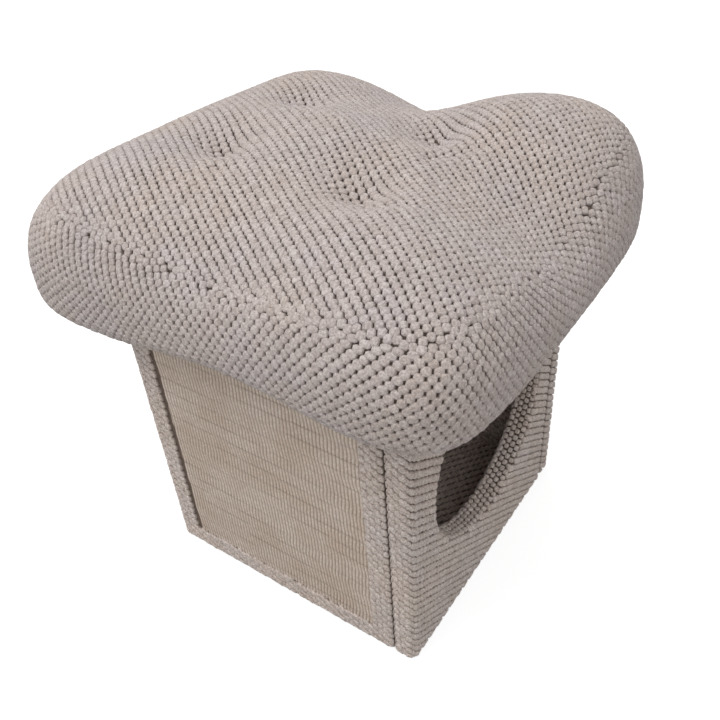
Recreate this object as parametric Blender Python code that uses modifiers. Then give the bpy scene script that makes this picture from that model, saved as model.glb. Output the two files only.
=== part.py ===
"""Cat scratcher pouf: a cat house of four upholstered panels under a tufted cushion lid that lifts off.

Metres, +Z up. The origin is on the floor, under the middle of the box. The round doorway faces -Y and the
sisal scratching mat faces -X.
"""

import math

import bmesh
import bpy
from mathutils import Matrix, Vector

# Box of four panels
BOX_WIDTH = 0.320  # outside, along X
BOX_DEPTH = 0.320  # outside, along Y
BOX_HEIGHT = 0.325  # floor to the top of the walls
WALL_BOARD = 0.015
PLUSH = 0.0045  # bobble plush with its backing
EDGE_ROUND = 0.010  # upholstered edges
SEAM_ROUND = 0.004  # edges pressed against the next panel
SLIT_WIDTH = 0.003  # stapled slit under each panel, where the ends of its plush meet
SLIT_INSET = 0.030
GAP = 0.0003  # between pieces that touch

# Doorway in the front panel
DOOR_RADIUS = 0.109
DOOR_X = -0.005
DOOR_ABOVE = 0.024  # rim to the top of the walls
DOOR_LIP = 0.005  # rounding of the plush at the rim

# Sisal mat in a window of the left panel's plush
SISAL_BACK = 0.033  # window to the back end of the panel
SISAL_FRONT = 0.0225  # window to its front end
SISAL_BELOW = 0.0255  # window to the floor
SISAL_ABOVE = 0.024  # window to the top of the walls
SISAL_MAT = 0.0038
SISAL_CLEARANCE = 0.0006

# Base
BASE_BOARD = 0.012
BASE_HEM = 0.022  # plush turned under the base board
GROUND_CLOTH = 0.0006
GROUND_CLOTH_INSET = 0.007
GROUND_CLEARANCE = 0.0003

# Dowels that join the panels at the corners, and the base board to the panels
DOWEL_RADIUS = 0.003
DOWEL_DEPTH = 0.011  # into each board
DOWEL_INSET = 0.062  # to the panel's top and bottom

# Lid board and the battens that drop inside the walls
LID_BOARD = 0.012
LID_INSET = 0.012  # outside of the walls to the lid board's edge
LID_CORNER = 0.016
LID_CLEARANCE = 0.0025  # battens to walls
BATTEN_WIDTH = 0.015
BATTEN_HEIGHT = 0.020
DUST_CLOTH = 0.0006
SCREW_RADIUS = 0.00175
SCREW_HEAD_RADIUS = 0.0035
SCREW_POINT = 0.005
SCREW_COVER = 0.0035  # wood left over the screw's point
SCREW_INSET = 0.035  # to the batten's end

# Cushion: its outside is a squarish pillow, with a flatter belly than crown
OVERHANG_X = 0.057  # past the box's sides
OVERHANG_Y = 0.071  # past its front and back
CUSHION_RISE = 0.1135  # widest line to the crown
CUSHION_DROP = 0.0453  # widest line to the belly
PLAN_POWER = 7.7  # 2 is an ellipse seen from above, and a high number is a square
CROWN_POWER = 2.37  # 2 is a round crown
BELLY_POWER = 4.1
HEM_INSET = 0.004  # outside of the walls to where the belly lies on them
HEM_POWER = 16.0
FILLING_SLACK = 0.0007

# How uneven stuffing lifts the crown's corners, and how far its sides sink in the middle
SWELL_FRONT_LEFT = -0.007
SWELL_BACK_LEFT = 0.033
SWELL_FRONT_RIGHT = 0.048
SWELL_BACK_RIGHT = -0.016
VALLEY_LEFT = 0.0165
VALLEY_RIGHT = 0.055
VALLEY_FRONT = 0.039
VALLEY_BACK = -0.006
VALLEY_WIDTH = 0.072

# How far loose stuffing lets each corner draw in, as a share of its distance from the middle
DRAWN_FRONT_LEFT = 0.055
DRAWN_FRONT_RIGHT = 0.058
DRAWN_BACK_RIGHT = 0.034

# Four sewn tufts, each tied to a toggle under the lid board
TUFT_INSET_X = 0.157  # to the cushion's sides
TUFT_INSET_Y = 0.1595  # to its front and back
TUFT_X = -0.006  # middle of the four
TUFT_Y = 0.010
TUFT_DEPTH = 0.026
TUFT_WIDTH = 0.029
TWINE_RADIUS = 0.0012
STITCH_RADIUS = 0.0024  # the twine's loop, caught in the backing of the plush
STITCH_HEIGHT = 0.0012
STITCH_COVER = 0.0015  # pile over it
KNOT_RADIUS = 0.0030
KNOT_HEIGHT = 0.004
TOGGLE_RADIUS = 0.009
TOGGLE_HEIGHT = 0.003

# Derived sizes
SKIN = PLUSH + GAP  # outside of a panel to its board
PANEL = WALL_BOARD + 2 * SKIN
DOOR_Z = BOX_HEIGHT - DOOR_ABOVE - DOOR_RADIUS
INNER_HALF_X = BOX_WIDTH / 2 - PANEL
INNER_HALF_Y = BOX_DEPTH / 2 - PANEL
BASE_HALF_X = INNER_HALF_X - GAP
BASE_HALF_Y = INNER_HALF_Y - GAP
GROUND_CLOTH_TOP = GROUND_CLEARANCE + GROUND_CLOTH
BASE_Z = GROUND_CLOTH_TOP + GAP + SKIN
BASE_TOP = BASE_Z + BASE_BOARD
LID_HALF_X = BOX_WIDTH / 2 - LID_INSET
LID_HALF_Y = BOX_DEPTH / 2 - LID_INSET
LID_Z = BOX_HEIGHT + GAP + SKIN
LID_TOP = LID_Z + LID_BOARD
BATTEN_HALF_X = INNER_HALF_X - LID_CLEARANCE
BATTEN_HALF_Y = INNER_HALF_Y - LID_CLEARANCE
BATTEN_TOP = LID_Z - GAP
BATTEN_Z = BATTEN_TOP - BATTEN_HEIGHT
SCREW_TIP = LID_TOP - SCREW_COVER - BATTEN_Z
CUSHION_HALF_X = BOX_WIDTH / 2 + OVERHANG_X
CUSHION_HALF_Y = BOX_DEPTH / 2 + OVERHANG_Y
CUSHION_Z = BOX_HEIGHT + GAP + CUSHION_DROP
TUFT_SPACING_X = 2 * (CUSHION_HALF_X - TUFT_INSET_X)
TUFT_SPACING_Y = 2 * (CUSHION_HALF_Y - TUFT_INSET_Y)
TOGGLE_TOP = BATTEN_TOP - DUST_CLOTH - GAP
TOGGLE_Z = TOGGLE_TOP - TOGGLE_HEIGHT
PAST = 0.02  # how far a cutter runs past what it cuts


def clear_scene():
    for obj in list(bpy.data.objects):
        bpy.data.objects.remove(obj)


def collection(name):
    made = bpy.data.collections.new(name)
    bpy.context.scene.collection.children.link(made)
    return made


def material(name, srgb, roughness, metallic=0.0):
    """A Principled material of a colour given as 0-255 screen values."""
    made = bpy.data.materials.new(name)
    made.use_nodes = True
    shader = made.node_tree.nodes["Principled BSDF"]
    linear = [((v / 255 + 0.055) / 1.055) ** 2.4 for v in srgb]
    shader.inputs["Base Color"].default_value = (*linear, 1.0)
    shader.inputs["Roughness"].default_value = roughness
    shader.inputs["Metallic"].default_value = metallic
    made.diffuse_color = (*linear, 1.0)
    return made


def add(name, bm, finish=None, parent=None):
    """An object of this bmesh: a piece where it has a finish, and otherwise a cutter."""
    mesh = bpy.data.meshes.new(name)
    bm.to_mesh(mesh)
    bm.free()
    obj = bpy.data.objects.new(name, mesh)
    if finish is None:
        CUTTERS.objects.link(obj)
        obj.hide_render = True
        obj.display_type = "WIRE"
    else:
        POUF.objects.link(obj)
        mesh.materials.append(finish)
    obj.parent = parent
    return obj


def block(low, high):
    """A bmesh box between two corners."""
    bm = bmesh.new()
    low, high = Vector(low), Vector(high)
    place = Matrix.Translation((low + high) / 2) @ Matrix.Diagonal((*(high - low), 1))
    bmesh.ops.create_cube(bm, size=1, matrix=place)
    return bm


def plate(half_x, half_y, low, high):
    """A bmesh box centred on the Z axis."""
    return block((-half_x, -half_y, low), (half_x, half_y, high))


def add_rod(bm, centre, axis, radius, length, sides):
    turn = Vector((0, 0, 1)).rotation_difference(Vector(axis)).to_matrix().to_4x4()
    place = Matrix.Translation(centre) @ turn
    bmesh.ops.create_cone(
        bm, cap_ends=True, segments=sides, radius1=radius, radius2=radius, depth=length, matrix=place
    )


def turned(name, profile, finish=None, sides=12):
    """A Screw of (radius, height) points that run down the outer side."""
    bm = bmesh.new()
    points = [bm.verts.new((radius, 0, height)) for radius, height in profile]
    for first, second in zip(points, points[1:]):
        bm.edges.new((first, second))
    obj = add(name, bm, finish)
    screw = obj.modifiers.new("turn", "SCREW")
    screw.steps = sides
    screw.render_steps = sides
    screw.use_merge_vertices = True
    screw.merge_threshold = 0.00001
    screw.use_smooth_shade = True
    return obj


def round_by_weight(obj, width, segments, weigh):
    """Rounds each edge by its share of the width, which weigh gives for the edge's two ends."""
    weights = obj.data.attributes.new("bevel_weight_edge", "FLOAT", "EDGE")
    for edge in obj.data.edges:
        first, second = (obj.data.vertices[i].co for i in edge.vertices)
        weights.data[edge.index].value = weigh(first, second)
    bevel = obj.modifiers.new("round", "BEVEL")
    bevel.width = width
    bevel.segments = segments
    bevel.limit_method = "WEIGHT"


def upright(first, second):
    """The weight that rounds only the edges along Z."""
    return float(abs(first.z - second.z) > GAP)


def panel_weight(first, second):
    """The weight that rounds a panel fully where it shows, and less where it butts against the next one."""
    middle = (first + second) / 2
    at_seam = middle.x > BOX_WIDTH / 2 and abs(first.x - second.x) < GAP
    at_seam = at_seam or (middle.x < GAP and middle.y > PANEL - GAP)
    return SEAM_ROUND / EDGE_ROUND if at_seam else 1.0


def cut(obj, cutter):
    boolean = obj.modifiers.new(cutter.name, "BOOLEAN")
    boolean.operation = "DIFFERENCE"
    boolean.object = cutter


def shade(obj, angle=45):
    obj.data.shade_smooth()
    obj.data.set_sharp_from_angle(angle=math.radians(angle))


def panel_places():
    """Name, length and corner empty of each panel. Each butts against the next one's face, like a pinwheel."""
    half_x, half_y = BOX_WIDTH / 2, BOX_DEPTH / 2
    across, deep = BOX_WIDTH - PANEL - GAP, BOX_DEPTH - PANEL - GAP
    corners = (
        ("front", across, -half_x, -half_y),
        ("right", deep, half_x, -half_y),
        ("back", across, half_x, half_y),
        ("left", deep, -half_x, half_y),
    )
    for quarter, (name, length, x, y) in enumerate(corners):
        place = bpy.data.objects.new(name + "_panel", None)
        place.location = (x, y, 0)
        place.rotation_euler.z = math.radians(90 * quarter)
        POUF.objects.link(place)
        yield name, length, place


def make_panel(name, length, place):
    """A board in its plush sleeve, which is open only along the stapled slit under the board."""
    low = Vector((SKIN, SKIN, SKIN))
    high = Vector((length, PANEL, BOX_HEIGHT)) - low
    slack = Vector((GAP, GAP, GAP))
    board = add(name + "_board", block(low, high), FINISH["board"], place)
    sleeve = block((0, 0, 0), (length, PANEL, BOX_HEIGHT))
    cover = add(name + "_cover", sleeve, FINISH["plush"], place)
    round_by_weight(cover, EDGE_ROUND, 3, panel_weight)
    cavity = add(name + "_cavity", block(low - slack, high + slack), parent=place)
    slit_low = (SLIT_INSET, (PANEL - SLIT_WIDTH) / 2, -PAST)
    slit_high = (length - SLIT_INSET, (PANEL + SLIT_WIDTH) / 2, SKIN)
    slit = add(name + "_slit", block(slit_low, slit_high), parent=place)
    cut(cover, cavity)
    cut(cover, slit)
    return board, cover, cavity


def door_profile():
    """Half the doorway's section through the panel, flared by the lip's rounding at both faces."""
    flare = DOOR_RADIUS + DOOR_LIP
    inner_lip, outer_lip = [], []
    for degrees in (0, 30, 60, 90):
        radius = flare - DOOR_LIP * math.cos(math.radians(degrees))
        depth = DOOR_LIP * (1 - math.sin(math.radians(degrees)))
        inner_lip.insert(0, (radius, PANEL - depth))
        outer_lip.append((radius, depth))
    ends = [(0, PANEL + PAST), (flare, PANEL + PAST)]
    return ends + inner_lip + outer_lip + [(flare, -PAST), (0, -PAST)]


def open_door(board, cover, cavity, place):
    """The doorway goes through the plush at its own radius, and through the board one skin wider."""
    doorway = turned("door_cutter", door_profile(), sides=48)
    doorway.parent = place
    doorway.location = (DOOR_X + BOX_WIDTH / 2, 0, DOOR_Z)
    doorway.rotation_euler.x = math.radians(-90)
    middle = (DOOR_X + BOX_WIDTH / 2, PANEL / 2, DOOR_Z)
    for name, pierced, radius in (
        ("door_in_board", board, DOOR_RADIUS + SKIN),
        ("door_lining", cavity, DOOR_RADIUS + PLUSH),
    ):
        bm = bmesh.new()
        add_rod(bm, middle, (0, 1, 0), radius, PANEL + 2 * PAST, 48)
        cut(pierced, add(name, bm, parent=place))
    cut(cover, doorway)
    shade(cover)


def make_sisal(cover, length, place):
    """The mat lies on the left board, in a window of the plush."""
    low = Vector((SISAL_BACK, -PAST, SISAL_BELOW))
    high = Vector((length - SISAL_FRONT, SKIN, BOX_HEIGHT - SISAL_ABOVE))
    cut(cover, add("sisal_window", block(low, high), parent=place))
    low += Vector((SISAL_CLEARANCE, 0, SISAL_CLEARANCE))
    high -= Vector((SISAL_CLEARANCE, GAP, SISAL_CLEARANCE))
    low.y = high.y - SISAL_MAT
    add("sisal_mat", block(low, high), FINISH["sisal"], place)


def make_walls():
    """Returns every board and cover, for the dowels."""
    joined = []
    for name, length, place in panel_places():
        board, cover, cavity = make_panel(name, length, place)
        if name == "front":
            open_door(board, cover, cavity, place)
        if name == "left":
            make_sisal(cover, length, place)
        joined += [board, cover]
    return joined


def make_base():
    """A board in plush, hemmed under its edge, with a ground cloth over the hem."""
    half_x, half_y = BASE_HALF_X, BASE_HALF_Y
    board_body = plate(half_x - SKIN, half_y - SKIN, BASE_Z, BASE_TOP)
    board = add("base_board", board_body, FINISH["board"])
    cover = add("base_cover", plate(half_x, half_y, BASE_Z - SKIN, BASE_TOP + SKIN), FINISH["plush"])
    pocket = plate(half_x - PLUSH, half_y - PLUSH, BASE_Z - GAP, BASE_TOP + GAP)
    opening = plate(half_x - BASE_HEM, half_y - BASE_HEM, -PAST, BASE_Z)
    cut(cover, add("base_pocket", pocket))
    cut(cover, add("base_opening", opening))
    inset = GROUND_CLOTH_INSET
    cloth = plate(half_x - inset, half_y - inset, GROUND_CLEARANCE, GROUND_CLOTH_TOP)
    add("ground_cloth", cloth, FINISH["cloth"])
    return [board, cover]


def dowel_places():
    """Name, centre and axis of each dowel, which crosses the joint between two pieces at right angles."""
    side_x, side_y = BOX_WIDTH / 2 - PANEL / 2, BOX_DEPTH / 2 - PANEL / 2
    joint_x, joint_y = INNER_HALF_X - GAP / 2, INNER_HALF_Y - GAP / 2
    corners = (
        ("front_left", -side_x, -joint_y, (0, 1, 0)),
        ("front_right", joint_x, -side_y, (1, 0, 0)),
        ("back_right", side_x, joint_y, (0, 1, 0)),
        ("back_left", -joint_x, side_y, (1, 0, 0)),
    )
    for name, x, y, axis in corners:
        yield f"dowel_{name}_low", (x, y, DOWEL_INSET), axis
        yield f"dowel_{name}_high", (x, y, BOX_HEIGHT - DOWEL_INSET), axis
    middle = (BASE_Z + BASE_TOP) / 2
    yield "base_dowel_front", (0, -joint_y, middle), (0, 1, 0)
    yield "base_dowel_right", (joint_x, 0, middle), (1, 0, 0)
    yield "base_dowel_back", (0, joint_y, middle), (0, 1, 0)
    yield "base_dowel_left", (-joint_x, 0, middle), (1, 0, 0)


def make_dowels(joined):
    bores = bmesh.new()
    length = 2 * (DOWEL_DEPTH + SKIN) + GAP
    for name, centre, axis in dowel_places():
        rod = bmesh.new()
        add_rod(rod, centre, axis, DOWEL_RADIUS, length, 12)
        shade(add(name, rod, FINISH["dowel"]))
        add_rod(bores, centre, axis, DOWEL_RADIUS + GAP, length + 2 * GAP, 12)
    cutter = add("dowel_bores", bores)
    for obj in joined:
        cut(obj, cutter)


def tuft_places():
    for x in (-1, 1):
        for y in (-1, 1):
            yield TUFT_X + x * TUFT_SPACING_X / 2, TUFT_Y + y * TUFT_SPACING_Y / 2


def stuffing_lift(x, y):
    """How far the stuffing lifts the crown at a place: corners swell and the sides sink."""
    across, along = x / CUSHION_HALF_X, y / CUSHION_HALF_Y
    left, right = max(-across, 0), max(across, 0)
    front, back = max(-along, 0), max(along, 0)
    swell = SWELL_FRONT_LEFT * left * front + SWELL_BACK_LEFT * left * back
    swell += SWELL_FRONT_RIGHT * right * front + SWELL_BACK_RIGHT * right * back
    valleys = (VALLEY_LEFT * left + VALLEY_RIGHT * right) * math.exp(-((y / VALLEY_WIDTH) ** 2))
    valleys += (VALLEY_FRONT * front + VALLEY_BACK * back) * math.exp(-((x / VALLEY_WIDTH) ** 2))
    return swell - valleys


def drawn_in(x, y):
    """The place, with the slack corners drawn in towards the middle. It leaves the tufts where they are."""
    across, along = x / CUSHION_HALF_X, y / CUSHION_HALF_Y
    left, right = max(-across, 0) ** 2, max(across, 0) ** 2
    front, back = max(-along, 0) ** 2, max(along, 0) ** 2
    draw = DRAWN_FRONT_LEFT * left * front + DRAWN_FRONT_RIGHT * right * front + DRAWN_BACK_RIGHT * right * back
    return x * (1 - draw), y * (1 - draw)


def crown_point(x, y, rise):
    """The crown at a place, where rise runs from 0 on the widest line to 1 on top."""
    dips = [math.exp(-((x - i) ** 2 + (y - j) ** 2) / TUFT_WIDTH**2) for i, j in tuft_places()]
    height = (CUSHION_RISE + stuffing_lift(x, y)) * rise - TUFT_DEPTH * sum(dips)
    return Vector((*drawn_in(x, y), CUSHION_Z + max(height, 0)))


def superellipse(x, y, power):
    return (abs(x) ** power + abs(y) ** power) ** (1 / power)


def cushion_top(x, y):
    """Height of the cushion's outside over a place."""
    ring = superellipse(x / CUSHION_HALF_X, y / CUSHION_HALF_Y, PLAN_POWER)
    return crown_point(x, y, (1 - ring**CROWN_POWER) ** (1 / CROWN_POWER)).z


def cushion_point(a, b, c):
    """Maps the cage to the cushion's outside. The cage is a cube of half-size 1, with the two rings of the hem
    below it: one on the walls at level -2, and its end at level -3."""
    low = BOX_HEIGHT + GAP
    if c < -2.5:
        return Vector((a * BASE_HALF_X, b * BASE_HALF_Y, low))
    if c < -1.5:
        ring = superellipse(a, b, HEM_POWER)
        return Vector((a * (BOX_WIDTH / 2 - HEM_INSET) / ring, b * (BOX_DEPTH / 2 - HEM_INSET) / ring, low))
    power = CROWN_POWER if c > 0 else BELLY_POWER
    reach = superellipse(superellipse(a, b, PLAN_POWER), c, power)
    x, y = CUSHION_HALF_X * a / reach, CUSHION_HALF_Y * b / reach
    if c > 0:
        return crown_point(x, y, c / reach)
    return Vector((*drawn_in(x, y), CUSHION_Z + CUSHION_DROP * c / reach))


def cage_lines(half, tuft_spacing, tuft_offset):
    """Places of the cage's lines across one direction, crowded round the two tufts."""
    lines = [0.0]
    width = TUFT_WIDTH / half
    for side in (-1, 1):
        tuft = side * (tuft_offset / half) + tuft_spacing / half / 2
        near = [tuft - 0.45 * width, tuft, tuft + 0.45 * width, tuft + 1.6 * width]
        outer = [tuft + (1 - tuft) * 0.55, tuft + (1 - tuft) * 0.80]
        lines += [side * place for place in near + outer]
    return sorted(lines)


def cushion_skin(inset):
    """The cushion's closed outside, moved in by inset, and the face that closes it under the lid board."""
    bm = bmesh.new()
    bmesh.ops.create_cube(bm, size=2)
    lines = (
        cage_lines(CUSHION_HALF_X, TUFT_SPACING_X, TUFT_X),
        cage_lines(CUSHION_HALF_Y, TUFT_SPACING_Y, TUFT_Y),
        (-0.5, 0.0, 0.5),
    )
    for axis, places in enumerate(lines):
        normal = Vector([float(i == axis) for i in range(3)])
        for place in places:
            everything = bm.verts[:] + bm.edges[:] + bm.faces[:]
            bmesh.ops.bisect_plane(bm, geom=everything, dist=1e-6, plane_co=normal * place, plane_no=normal)
    under = [face for face in bm.faces if max(vert.co.z for vert in face.verts) < -0.99]
    bmesh.ops.delete(bm, geom=under, context="FACES")
    for level in (-2, -3):
        rim = [edge for edge in bm.edges if edge.is_boundary]
        turned_in = bmesh.ops.extrude_edge_only(bm, edges=rim)["geom"]
        for vert in (item for item in turned_in if isinstance(item, bmesh.types.BMVert)):
            vert.co.z = level
    for vert in bm.verts:
        vert.co = cushion_point(*vert.co)
    rim = [edge for edge in bm.edges if edge.is_boundary]
    bmesh.ops.triangulate(bm, faces=bm.faces[:], quad_method="SHORT_EDGE")
    closing = bmesh.ops.contextual_create(bm, geom=rim)["faces"][0]
    bmesh.ops.recalc_face_normals(bm, faces=bm.faces[:])
    bm.normal_update()
    moved = [vert.co - vert.normal * inset for vert in bm.verts]
    for vert, place in zip(bm.verts, moved):
        vert.co = place
    return bm, closing


def make_cushion():
    """The tufted cover, hemmed between the walls and the lid board, and its filling round the lid board."""
    bm, closing = cushion_skin(0.0)
    bmesh.ops.delete(bm, geom=[closing], context="FACES_ONLY")
    cover = add("cushion_cover", bm, FINISH["plush"])
    shell = cover.modifiers.new("plush", "SOLIDIFY")
    shell.thickness = PLUSH
    shell.offset = -1
    cover.data.shade_smooth()
    bm, closing = cushion_skin(PLUSH + FILLING_SLACK)
    filling = add("cushion_filling", bm, FINISH["filling"])
    filling.data.shade_smooth()
    seat_body = plate(LID_HALF_X + GAP, LID_HALF_Y + GAP, BOX_HEIGHT - PAST, LID_TOP + GAP)
    seat = add("lid_board_seat", seat_body)
    round_by_weight(seat, LID_CORNER + GAP, 5, upright)
    cut(filling, seat)
    return cover, filling


def make_lid_board():
    board = add("lid_board", plate(LID_HALF_X, LID_HALF_Y, LID_Z, LID_TOP), FINISH["board"])
    round_by_weight(board, LID_CORNER, 5, upright)
    half_x = BATTEN_HALF_X - BATTEN_WIDTH - GAP
    half_y = BATTEN_HALF_Y - BATTEN_WIDTH - GAP
    cloth_body = plate(half_x, half_y, BATTEN_TOP - DUST_CLOTH, BATTEN_TOP)
    cloth = add("lid_dust_cloth", cloth_body, FINISH["cloth"])
    return board, cloth


def screw_profile(slack):
    """A countersunk screw that points up from its flat head at height 0, or with slack its bore."""
    head, shaft = SCREW_HEAD_RADIUS + slack, SCREW_RADIUS + slack
    tip, shoulder = SCREW_TIP + slack, SCREW_HEAD_RADIUS - SCREW_RADIUS + GAP
    profile = [(0, tip), (shaft / 3, tip), (shaft, tip - SCREW_POINT), (shaft, shoulder), (head, GAP)]
    if slack:
        profile.append((head, -PAST))
    return profile + [(0, profile[-1][1])]


def make_battens(board):
    """Four battens, screwed up into the lid board, drop inside the walls and keep the lid from sliding."""
    inner_x, inner_y = BATTEN_HALF_X - BATTEN_WIDTH, BATTEN_HALF_Y - BATTEN_WIDTH
    spans = (
        ("front", (-BATTEN_HALF_X, -BATTEN_HALF_Y), (BATTEN_HALF_X, -inner_y)),
        ("back", (-BATTEN_HALF_X, inner_y), (BATTEN_HALF_X, BATTEN_HALF_Y)),
        ("left", (-BATTEN_HALF_X, GAP - inner_y), (-inner_x, inner_y - GAP)),
        ("right", (inner_x, GAP - inner_y), (BATTEN_HALF_X, inner_y - GAP)),
    )
    for side, low, high in spans:
        batten = add("batten_" + side, block((*low, BATTEN_Z), (*high, BATTEN_TOP)), FINISH["batten"])
        low, high = Vector(low), Vector(high)
        along = Vector((1, 0)) if side in ("front", "back") else Vector((0, 1))
        offset = along * ((high - low).dot(along) / 2 - SCREW_INSET)
        for number, centre in enumerate(((low + high) / 2 - offset, (low + high) / 2 + offset), 1):
            screw = turned(f"screw_{side}_{number}", screw_profile(0), FINISH["steel"])
            bore = turned(f"screw_{side}_{number}_bore", screw_profile(GAP))
            for placed in (screw, bore):
                placed.location = (*centre, BATTEN_Z)
            cut(batten, bore)
            cut(board, bore)


def tie_tufts(cover, filling, board, cloth):
    """A twine, caught in the plush and knotted under a toggle, pulls each tuft down to the lid board."""
    long_bores = bmesh.new()
    bore = TWINE_RADIUS + GAP
    for number, (x, y) in enumerate(tuft_places(), 1):
        top = cushion_top(x, y) - STITCH_COVER
        stitch = top - STITCH_HEIGHT
        knot = TOGGLE_Z - GAP
        twine = [(0, top), (STITCH_RADIUS, top), (STITCH_RADIUS, stitch), (TWINE_RADIUS, stitch)]
        twine += [(TWINE_RADIUS, knot), (KNOT_RADIUS * 0.8, knot), (KNOT_RADIUS, knot - KNOT_HEIGHT / 2)]
        twine += [(KNOT_RADIUS * 0.7, knot - KNOT_HEIGHT), (0, knot - KNOT_HEIGHT)]
        neck = top + STITCH_COVER - PLUSH - GAP
        pocket = [(0, top + GAP), (STITCH_RADIUS + GAP, top + GAP), (STITCH_RADIUS + GAP, stitch - GAP)]
        pocket += [(bore, neck), (bore, neck - PAST), (0, neck - PAST)]
        rim, chamfer = TOGGLE_RADIUS, TOGGLE_HEIGHT / 4
        toggle = [(bore, TOGGLE_TOP), (rim - chamfer, TOGGLE_TOP), (rim, TOGGLE_TOP - chamfer)]
        toggle += [(rim, TOGGLE_Z + chamfer), (rim - chamfer, TOGGLE_Z), (bore, TOGGLE_Z), (bore, TOGGLE_TOP)]
        pocket_cutter = turned(f"tuft_pocket_{number}", pocket, sides=6)
        cut(cover, pocket_cutter)
        for placed in (
            turned(f"tuft_twine_{number}", twine, FINISH["twine"], sides=6),
            turned(f"tuft_toggle_{number}", toggle, FINISH["toggle"], sides=16),
            pocket_cutter,
        ):
            placed.location = (x, y, 0)
        low, high = TOGGLE_Z - PAST, CUSHION_Z + CUSHION_RISE + PAST
        add_rod(long_bores, (x, y, (low + high) / 2), (0, 0, 1), bore, high - low, 6)
    cutter = add("twine_bores", long_bores)
    for obj in (filling, board, cloth):
        cut(obj, cutter)


clear_scene()
POUF = collection("cat_scratcher_pouf")
CUTTERS = collection("cutters")
FINISH = {
    "plush": material("bobble_plush", (178, 168, 162), 0.95),
    "board": material("particle_board", (176, 148, 108), 0.80),
    "sisal": material("woven_sisal", (168, 155, 145), 0.90),
    "cloth": material("black_nonwoven", (38, 37, 38), 0.90),
    "dowel": material("beech_dowel", (196, 160, 116), 0.65),
    "batten": material("pine_batten", (208, 178, 132), 0.70),
    "steel": material("zinc_plated_steel", (186, 188, 190), 0.35, 1.0),
    "filling": material("polyester_filling", (232, 230, 226), 1.00),
    "twine": material("waxed_twine", (196, 186, 172), 0.85),
    "toggle": material("toggle_plastic", (222, 220, 214), 0.45),
}
make_dowels(make_walls() + make_base())
lid_board, dust_cloth = make_lid_board()
cushion_cover, cushion_filling = make_cushion()
make_battens(lid_board)
tie_tufts(cushion_cover, cushion_filling, lid_board, dust_cloth)
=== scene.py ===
"""Looks of the cat scratcher pouf: bobble plush on every cover, ribbed sisal, and the small pieces inside.

Metres, +Z up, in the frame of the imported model. The doorway faces -Y and the sisal mat faces -X.
"""

import math

import bpy
import numpy as np
from mathutils import Matrix, Vector
from mathutils.kdtree import KDTree


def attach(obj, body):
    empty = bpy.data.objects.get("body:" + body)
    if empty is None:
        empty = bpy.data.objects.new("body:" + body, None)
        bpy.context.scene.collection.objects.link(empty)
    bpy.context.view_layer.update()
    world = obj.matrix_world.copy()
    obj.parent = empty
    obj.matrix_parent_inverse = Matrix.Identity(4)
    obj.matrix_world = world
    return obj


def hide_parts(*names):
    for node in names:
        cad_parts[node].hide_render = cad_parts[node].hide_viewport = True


# Sizes of the CAD model that the looks need
BOX = 0.320
HEIGHT = 0.325
PANEL = 0.0246
GAP = 0.0003
LENGTH = BOX - PANEL - GAP  # of a panel
EDGE_ROUND = 0.010
SLIT_WIDTH = 0.003
DOOR_RADIUS = 0.109
DOOR_U = 0.155  # from the front panel's left end
DOOR_Z = 0.192
DOOR_LIP = 0.005
SISAL_BACK = 0.033
SISAL_FRONT = 0.0225
SISAL_BELOW = 0.0255
SISAL_ABOVE = 0.024
FLOOR_TOP = 0.0228
BASE_HALF = 0.1351
LID_UNDER = 0.3297
CUSHION_HALF_X = 0.217
CUSHION_HALF_Y = 0.231
CUSHION_Z = 0.3706
CUSHION_RISE = 0.1135
CUSHION_DROP = 0.0453
PLAN_POWER = 7.7
CROWN_POWER = 2.37
BELLY_POWER = 4.1
HEM_HALF = 0.156
HEM_Z = 0.3253
HEM_POWER = 16.0
SWELLS = ((-1, -1, -0.007), (-1, 1, 0.033), (1, -1, 0.048), (1, 1, -0.016))
VALLEYS_X = ((-1, 0.0165), (1, 0.055))
VALLEYS_Y = ((-1, 0.039), (1, -0.006))
VALLEY_WIDTH = 0.072
DRAWN = ((-1, -1, 0.055), (1, -1, 0.058), (1, 1, 0.034))
TUFTS = ((-0.066, -0.0615), (-0.066, 0.0815), (0.054, -0.0615), (0.054, 0.0815))
TUFT_DEPTH = 0.026
TUFT_WIDTH = 0.029

# Soft forms of the cushion that the CAD model keeps plain. The left and front sides are rounder below their
# widest line, and the left one is drawn in: how much, and the middle and width of the stretch.
LEFT_SOFT = (1.8, -0.1, 0.5)
FRONT_SOFT = (1.0, 0.0, 0.6)
SOFT_FALL = 6  # how sharply the softness ends towards the next side
LEFT_SUNK = (0.036, -0.02, 0.11)
TUFT_FALL = 0.75  # how sharply a tuft falls off, where 1 is the CAD model's
# Shallow creases that the tufts pull in the top: both ends, depth and width
CREASES = (
    ((-0.090, -0.080), (-0.066, -0.116), 0.0045, 0.007),
    ((0.010, -0.083), (0.050, -0.114), 0.0045, 0.007),
    ((-0.104, 0.056), (-0.091, 0.030), 0.0035, 0.006),
)

# How finely the cushion is divided: to its widest line, from there to the hem, along the hem, and round it
TOP_RINGS = 64
BELLY_RINGS = 26
HEM_RINGS = 7
COLUMNS = 288

# Plush: rows of bobbles over a backing that is painted darker, as painted shade in the gaps. The rows merge,
# and between two bobbles of a row the backing shows in a short dark slit.
PILE = 0.0040  # tips to the foot of a bobble
BACKING = 0.0027  # outside to the backing cloth
PROUD = 0.0010  # how far the tips stand past the outside
LUMPY = 0.05  # how much bobbles differ from each other
SETTLED = 0.00025  # how far some sit lower than others
LOWEST = 0.0003  # no corner of a bobble is nearer the floor
RINGS = ((0.50, 0.985), (0.82, 0.92), (0.95, 0.62), (1.0, 0.0))  # a bobble's section: reach and level
SQUARENESS = 3.2  # of a bobble seen from above
MERGED = 0.52  # half size, as a share of the step, at which no slit is left in a row

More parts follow.
